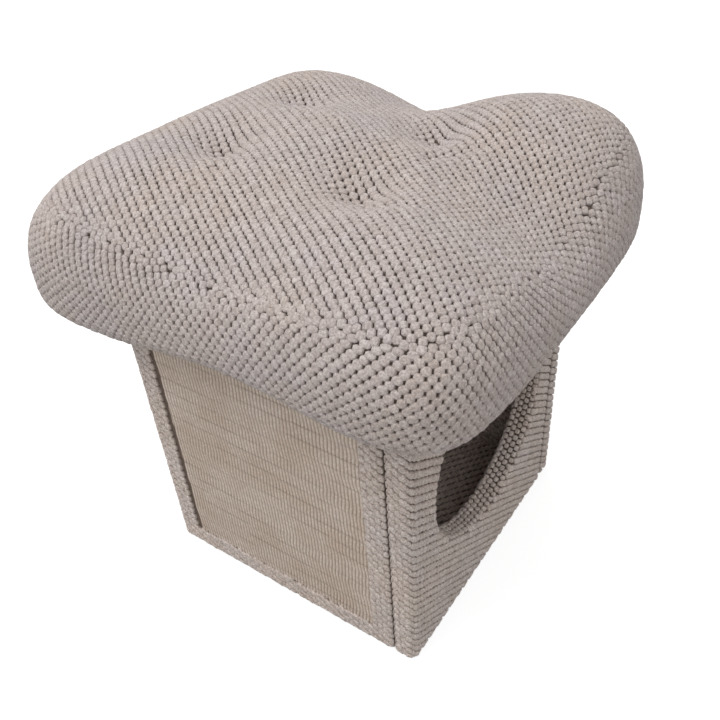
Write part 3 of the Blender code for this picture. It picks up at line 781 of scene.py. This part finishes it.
def line_doorway(matrix, plush):
    """Rows of small bobbles through the doorway, between the plush that turns over its two rims."""
    deep = np.array((0.0, 1.0, 0.0))
    straight = PANEL / 2 - DOOR_LIP
    parts = []
    for number, row in enumerate((-1.5, -0.5, 0.5, 1.5)):
        middle = row * DOOR_PITCH
        turn = np.sign(middle) * max(abs(middle) - straight, 0) / DOOR_LIP
        radius = DOOR_RADIUS + DOOR_LIP * (1 - math.cos(turn))
        v = PANEL / 2 + np.clip(middle, -straight, straight) + DOOR_LIP * math.sin(turn)
        angle = 2 * math.pi * (np.arange(DOOR_COLUMNS) + DOOR_STAGGER * number) / DOOR_COLUMNS
        out = np.stack((np.cos(angle), 0 * angle, np.sin(angle)), axis=1)
        places = np.array((DOOR_U, v, DOOR_Z)) + out * radius
        normals = deep * math.sin(turn) - out * math.cos(turn)
        around = 2 * math.pi * radius / DOOR_COLUMNS * np.cross(out, deep)
        onward = DOOR_PITCH * (deep * math.cos(turn) + out * math.sin(turn))
        parts.append((places, normals, around, onward))
    places, normals, around, onward = (np.concatenate(part) for part in zip(*parts))
    steps = [turned(matrix, step) for step in (around, onward)]
    pile = (moved(matrix, places), turned(matrix, normals), steps, DOOR_FILL)
    bobbles("doorway_pile", *pile, plush, "house", "wall_plush", seed=77)


def make_floor_cover(plush, backing):
    """The cabin's floor."""
    low, high = (-BASE_HALF, -BASE_HALF, 0.0012), (BASE_HALF, BASE_HALF, FLOOR_TOP - BACKING)
    cover = plain_mesh("floor_backing", box_body(low, high))
    cover.data.materials.append(backing)
    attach(cover, "house")
    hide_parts("base_cover")
    flat = lattice(WALL_STEPS, (-60, 61), (-60, 61))
    flat = flat[np.max(np.abs(flat), axis=1) < BASE_HALF - 0.0005]
    count = len(flat)
    places = np.column_stack((flat, np.full(count, FLOOR_TOP)))
    up = np.tile((0.0, 0.0, 1.0), (count, 1))
    steps = [np.tile((*step, 0.0), (count, 1)) for step in WALL_STEPS]
    bobbles("floor_pile", places, up, steps, WALL_FILL, plush, "house", "wall_plush", 6, seed=5)


# Sisal mat


def sisal_relief(u, z):
    """How deep the groove between the ribs is at each place, and how sunk the weft line, from 0 to 1."""
    rng = np.random.default_rng(4)
    knots = np.linspace(z.min(), z.max(), 15)
    sway = np.interp(z, knots, np.cumsum(rng.normal(0, 0.0005, 15)))
    sway += 0.0007 * np.sin(z / 0.009 + u / 0.041) + 0.0003 * np.sin(z / 0.0037 + u / 0.013)
    phase = 2 * math.pi * (u + sway) / RIB_PITCH
    bent = z + 0.0007 * np.sin(u / 0.027 + z / 0.031) + 0.0004 * np.sin(u / 0.009)
    line = 2 * math.pi * bent / WEFT_PITCH
    sunk = np.exp(-(((1 - np.cos(line)) / 0.06) ** 2)) * (0.75 + 0.25 * np.sin(u / 0.037 + z / 0.019))
    return 0.5 + 0.5 * np.cos(phase), sunk


def rim_of(rows, columns):
    """The outermost points of a grid, in order round it."""
    low, right = np.arange(columns), np.arange(1, rows) * columns + columns - 1
    top, left = np.arange(columns - 2, -1, -1) + (rows - 1) * columns, np.arange(rows - 2, 0, -1) * columns
    return np.concatenate((low, right, top, left))


def make_sisal(material):
    """Upright ribs with a sunk weft line across them every 17 mm or so."""
    low, high = SISAL_BACK + 0.0014, LENGTH - SISAL_FRONT - 0.0006
    bottom, top = SISAL_BELOW + 0.0006, HEIGHT - SISAL_ABOVE - 0.0006
    columns, rows = RIB_STEPS * round((high - low) / RIB_PITCH) + 1, SISAL_ROWS
    u, z = np.meshgrid(np.linspace(low, high, columns), np.linspace(bottom, top, rows))
    ribs, sunk = sisal_relief(u, z)
    depth = 0.0005 + 0.0013 * (1 - ribs**0.6) + 0.0003 * sunk
    front = np.stack((u, depth, z), axis=-1).reshape(-1, 3)
    back = front.copy()
    back[:, 1] = 0.0044
    rim = rim_of(rows, columns)
    after = np.roll(rim, -1)
    skirt = np.stack((rim, rim + len(front), after + len(front), after), axis=1)
    quads = grid_faces(rows, columns)
    points = moved(panel_matrix("left"), np.concatenate((front, back)))
    mat = build_mesh("sisal", points, [quads, quads[:, ::-1] + len(front), skirt], material, "house")
    store(mat, "groove", np.tile((1 - ribs).ravel(), 2))
    store(mat, "weft", np.tile(sunk.ravel(), 2))
    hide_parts("sisal_mat")


# Cloths


def make_cloth(name, node, half, level, material, body):
    """A thin sheet that lies almost flat, a little puckered between its staples."""
    side = 61
    x, y = np.meshgrid(np.linspace(-half, half, side), np.linspace(-half, half, side))
    pucker = 0.00010 * np.sin(x * 190) * np.sin(y * 170) + 0.00006 * np.sin(x * 61 + 1) * np.cos(y * 77)
    points = np.stack((x, y, level + pucker), axis=-1).reshape(-1, 3)
    cloth = build_mesh(name, points, [grid_faces(side, side)], material, body)
    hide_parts(node)


# Materials


class Nodes:
    """Short names for building a material's nodes."""

    def __init__(self, name):
        self.material = bpy.data.materials.new(name)
        self.material.use_nodes = True
        self.tree = self.material.node_tree
        self.shader = self.tree.nodes["Principled BSDF"]

    def add(self, kind, **values):
        node = self.tree.nodes.new(kind)
        for key, value in values.items():
            if hasattr(node, key):
                setattr(node, key, value)
            else:
                node.inputs[key.replace("_", " ").title()].default_value = value
        return node

    def join(self, source, target):
        self.tree.links.new(source, target)

    def attribute(self, name):
        return self.add("ShaderNodeAttribute", attribute_name=name).outputs["Fac"]

    def texture(self, kind, output, stretch=None, **values):
        """A texture's output over the object's own coordinates, or over stretched ones."""
        node = self.add(kind, **values)
        place = self.add("ShaderNodeTexCoord").outputs["Object"]
        if stretch:
            mapping = self.add("ShaderNodeMapping", scale=stretch)
            self.join(place, mapping.inputs["Vector"])
            place = mapping.outputs["Vector"]
        self.join(place, node.inputs["Vector"])
        return node.outputs[output]

    def noise(self, scale, detail=2.0, roughness=0.5):
        return self.texture("ShaderNodeTexNoise", "Fac", scale=scale, detail=detail, roughness=roughness)

    def ramp(self, source, *stops):
        """A colour ramp through (place, colour as screen values) stops."""
        node = self.add("ShaderNodeValToRGB")
        elements = node.color_ramp.elements
        while len(elements) < len(stops):
            elements.new(0.5)
        for element, (place, colour) in zip(elements, stops):
            element.position = place
            element.color = linear(colour)
        self.join(source, node.inputs["Fac"])
        return node.outputs["Color"]

    def mix(self, share, first, second, blend="MIX"):
        node = self.add("ShaderNodeMix", data_type="RGBA", blend_type=blend)
        for value, socket in ((share, node.inputs[0]), (first, node.inputs[6]), (second, node.inputs[7])):
            if isinstance(value, bpy.types.NodeSocket):
                self.join(value, socket)
            else:
                socket.default_value = value
        return node.outputs[2]

    def bump(self, height, distance, strength=1.0):
        node = self.add("ShaderNodeBump")
        node.inputs["Strength"].default_value = strength
        node.inputs["Distance"].default_value = distance
        self.join(height, node.inputs["Height"])
        self.join(node.outputs["Normal"], self.shader.inputs["Normal"])

    def set(self, values):
        for name, value in values.items():
            self.shader.inputs[name].default_value = value

    def finish(self, colour, roughness, metallic=0.0, sheen=0.0, specular=0.3):
        self.join(colour, self.shader.inputs["Base Color"])
        self.set({"Roughness": roughness, "Metallic": metallic, "Specular IOR Level": specular})
        self.set({"Sheen Weight": sheen, "Sheen Roughness": 0.6})
        return self.material


def plush_material(name, light, mid, dark):
    """Chenille bobbles: feet painted dark as painted shade in the gaps, a mid tone with light flecks that are
    partly fibre colour and partly painted glints, and a fuzzy surface.
    """
    n = Nodes(name)
    # The light flecks are partly the fibres' own colour and partly painted glints on them.
    flecks = n.noise(540, 3.0, 0.75)
    pile = n.ramp(flecks, (0.40, mid), (0.62, light))
    tone = n.ramp(n.attribute("tone"), (0.0, (243, 241, 239)), (1.0, (255, 255, 255)))
    pile = n.mix(1.0, pile, tone, "MULTIPLY")
    drift = n.ramp(n.noise(14, 2.0), (0.35, (252, 252, 255)), (0.65, (255, 252, 250)))
    pile = n.mix(1.0, pile, drift, "MULTIPLY")
    # Painted shade: the lower a point sits on its bobble, the nearer its colour goes to the dark one, which
    # paints the gaps between bobbles dark.
    deep = n.ramp(n.attribute("foot"), (0.25, (0, 0, 0)), (1.0, (255, 255, 255)))
    colour = n.mix(deep, pile, linear(dark))
    n.bump(flecks, 0.0009, 0.9)
    return n.finish(colour, 0.95, sheen=0.15, specular=0.15)


def backing_material(name, colour, shade):
    n = Nodes(name)
    # Painted shade: the backing's colours are darker than the pile's, so the slits between bobbles read dark.
    # The noise only mottles it.
    pile = n.ramp(n.noise(700, 3.0, 0.6), (0.3, shade), (0.7, colour))
    n.bump(n.noise(900, 3.0, 0.6), 0.0005, 0.7)
    return n.finish(pile, 0.98, specular=0.1)


def sisal_material():
    """Pale ribs with small bright beads, with painted shade in their grooves and along the sunk weft."""
    n = Nodes("woven_sisal")
    beads = n.texture("ShaderNodeTexVoronoi", "Distance", (1.0, 1.0, 0.55), scale=430.0, randomness=0.8)
    tan = n.ramp(beads, (0.0, (252, 242, 232)), (0.5, (228, 213, 201)))
    # Painted shade in the grooves between the ribs, which the mesh already sinks.
    groove = n.ramp(n.attribute("groove"), (0.45, (255, 255, 255)), (1.0, (196, 187, 176)))
    colour = n.mix(1.0, tan, groove, "MULTIPLY")
    # Painted shade along the sunk weft line.
    weft = n.ramp(n.attribute("weft"), (0.1, (255, 255, 255)), (1.0, (214, 210, 206)))
    colour = n.mix(1.0, colour, weft, "MULTIPLY")
    patches = n.ramp(n.noise(22, 3.0), (0.35, (244, 240, 236)), (0.65, (255, 255, 255)))
    colour = n.mix(1.0, colour, patches, "MULTIPLY")
    n.bump(beads, 0.0004, 0.6)
    return n.finish(colour, 0.85, specular=0.25)


def board_material():
    n = Nodes("particle_board")
    chips = n.texture("ShaderNodeTexVoronoi", "Color", scale=260.0)
    wood = n.ramp(chips, (0.1, (142, 112, 74)), (0.9, (205, 178, 138)))
    colour = n.mix(0.4, wood, n.ramp(n.noise(500, 4.0), (0.3, (150, 122, 84)), (0.7, (196, 168, 126))))
    n.bump(n.noise(700, 3.0), 0.0003, 0.5)
    return n.finish(colour, 0.8)


def timber_material(name, light, dark, stretch):
    """Planed wood with its grain along one axis."""
    n = Nodes(name)
    grain = n.texture(
        "ShaderNodeTexNoise", "Fac", stretch, scale=320.0, detail=5.0, roughness=0.6, distortion=0.6
    )
    colour = n.ramp(grain, (0.35, dark), (0.62, light))
    n.bump(grain, 0.0002, 0.4)
    return n.finish(colour, 0.6)


def cloth_material():
    """Black nonwoven cloth with its small embossed dots."""
    n = Nodes("nonwoven_cloth")
    dots = n.texture("ShaderNodeTexVoronoi", "Distance", scale=520.0, randomness=0.1)
    colour = n.ramp(dots, (0.12, (24, 24, 25)), (0.35, (48, 47, 48)))
    n.bump(dots, 0.0002, 0.5)
    return n.finish(colour, 0.85)


def steel_material():
    n = Nodes("zinc_steel")
    colour = n.ramp(n.noise(900, 3.0), (0.3, (176, 178, 180)), (0.7, (206, 207, 208)))
    n.bump(n.noise(1400, 2.0), 0.0001, 0.3)
    return n.finish(colour, 0.32, metallic=1.0, specular=0.5)


def twine_material():
    n = Nodes("waxed_twine")
    wave = n.texture("ShaderNodeTexWave", "Fac", scale=620.0, distortion=1.5, bands_direction="DIAGONAL")
    colour = n.ramp(wave, (0.2, (168, 156, 140)), (0.8, (208, 198, 184)))
    n.bump(wave, 0.0003, 0.6)
    return n.finish(colour, 0.75)


def plastic_material():
    n = Nodes("toggle_plastic")
    colour = n.ramp(n.noise(300, 2.0), (0.3, (214, 212, 206)), (0.7, (224, 222, 217)))
    n.bump(n.noise(1600, 2.0), 0.00008, 0.3)
    return n.finish(colour, 0.42, specular=0.5)


def dress_nodes(nodes):
    """Every CAD piece that stays gets its own finish."""
    pine = ((222, 194, 150), (188, 152, 104))
    pine_x = timber_material("pine_along_x", *pine, (0.05, 1.0, 1.0))
    pine_y = timber_material("pine_along_y", *pine, (1.0, 0.05, 1.0))
    finishes = {
        "board": board_material(),
        "screw_": steel_material(),
        "tuft_twine": twine_material(),
        "tuft_toggle": plastic_material(),
        "dowel": timber_material("beech", (208, 174, 130), (180, 142, 98), (0.3, 0.3, 1.0)),
        "batten_front": pine_x,
        "batten_back": pine_x,
        "batten_left": pine_y,
        "batten_right": pine_y,
    }
    for name, node in nodes.items():
        for key, material in finishes.items():
            if key in name:
                node.data.materials.clear()
                node.data.materials.append(material)


# Stage


def seen_directly(tree):
    """1 where it is seen, also in a gloss or through something clear, and 0 where it only gives light."""
    path = tree.nodes.new("ShaderNodeLightPath")
    last = path.outputs["Is Camera Ray"]
    for name in ("Is Glossy Ray", "Is Transmission Ray"):
        most = tree.nodes.new("ShaderNodeMath")
        most.operation = "MAXIMUM"
        tree.links.new(last, most.inputs[0])
        tree.links.new(path.outputs[name], most.inputs[1])
        last = most.outputs[0]
    return last


def make_stage():
    """A wide pale floor that looks white but keeps the object's shadow."""
    floor = plain_mesh("floor", ([(-30, -30, 0), (30, -30, 0), (30, 30, 0), (-30, 30, 0)], [(0, 1, 2, 3)]))
    floor.location.z = -0.0002
    n = Nodes("pale_floor")
    n.set({"Base Color": (FLOOR_GREY, FLOOR_GREY, FLOOR_GREY, 1), "Emission Color": (1, 1, 1, 1)})
    n.set({"Roughness": 1.0, "Specular IOR Level": 0.0})
    amount = n.add("ShaderNodeMath", operation="MULTIPLY")
    amount.inputs[1].default_value = FLOOR_GLOW
    n.join(seen_directly(n.tree), amount.inputs[0])
    n.join(amount.outputs[0], n.shader.inputs["Emission Strength"])
    floor.data.materials.append(n.material)


def make_sky():
    """A world that is brighter overhead than at the horizon, and plain white where it is seen directly."""
    world = bpy.data.worlds.new("studio")
    world.use_nodes = True
    bpy.context.scene.world = world
    tree = world.node_tree
    background = tree.nodes["Background"]
    background.inputs["Color"].default_value = (1, 1, 1, 1)
    way = tree.nodes.new("ShaderNodeTexCoord")
    part = tree.nodes.new("ShaderNodeSeparateXYZ")
    sky = tree.nodes.new("ShaderNodeMapRange")
    sky.inputs["To Min"].default_value, sky.inputs["To Max"].default_value = SKY
    strength = tree.nodes.new("ShaderNodeMapRange")
    strength.inputs["To Max"].default_value = 1.0
    tree.links.new(way.outputs["Generated"], part.inputs["Vector"])
    tree.links.new(part.outputs["Z"], sky.inputs["Value"])
    tree.links.new(sky.outputs["Result"], strength.inputs["To Min"])
    tree.links.new(seen_directly(tree), strength.inputs["Value"])
    tree.links.new(strength.outputs["Result"], background.inputs["Strength"])


def make_lamps():
    for name, place, size, power in LAMPS:
        lamp = bpy.data.lights.new(name, "AREA")
        lamp.size = size
        lamp.energy = power
        obj = linked(name, lamp)
        obj.location = place
        aim = Vector(LIT) - Vector(place)
        obj.rotation_euler = aim.to_track_quat("-Z", "Y").to_euler()


def make_camera():
    lens = bpy.data.cameras.new("camera")
    lens.sensor_width = SENSOR
    lens.lens = FOCAL / FRAME * SENSOR
    lens.clip_start = 0.01
    camera = linked("camera", lens)
    turn = Matrix([Vector(axis) for axis in CAMERA_AXES]).transposed().to_4x4()
    camera.matrix_world = Matrix.Translation(CAMERA_PLACE) @ turn
    bpy.context.scene.camera = camera


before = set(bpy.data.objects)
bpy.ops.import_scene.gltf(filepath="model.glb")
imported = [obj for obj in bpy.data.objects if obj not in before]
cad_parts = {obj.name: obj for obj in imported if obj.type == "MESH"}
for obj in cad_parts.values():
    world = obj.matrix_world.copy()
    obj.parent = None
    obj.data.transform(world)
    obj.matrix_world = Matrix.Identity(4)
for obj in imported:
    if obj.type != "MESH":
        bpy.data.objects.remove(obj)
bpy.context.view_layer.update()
make_camera()
# The same plush is painted lighter on the walls than on the cushion, with lighter feet too: painted light on
# the walls under the cushion's overhang.
wall_plush = plush_material("wall_bobble_plush", (248, 237, 229), (198, 184, 175), (126, 111, 102))
cushion_plush = plush_material("cushion_bobble_plush", (222, 213, 208), (182, 170, 165), (104, 92, 86))
backing = backing_material("plush_backing", (134, 119, 109), (104, 90, 81))
make_cushion(cushion_plush, backing)
for side in ("front", "right", "back", "left"):
    make_panel(side, wall_plush, backing)
make_floor_cover(wall_plush, backing)
make_sisal(sisal_material())
nonwoven = cloth_material()
make_cloth("ground_sheet", "ground_cloth", BASE_HALF - 0.007, 0.0006, nonwoven, "house")
make_cloth("dust_sheet", "lid_dust_cloth", 0.1176, 0.3295, nonwoven, "lid")
dress_nodes(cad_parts)
make_stage()
make_sky()
make_lamps()
bpy.context.scene.view_settings.view_transform = "Standard"
bpy.context.view_layer.update()
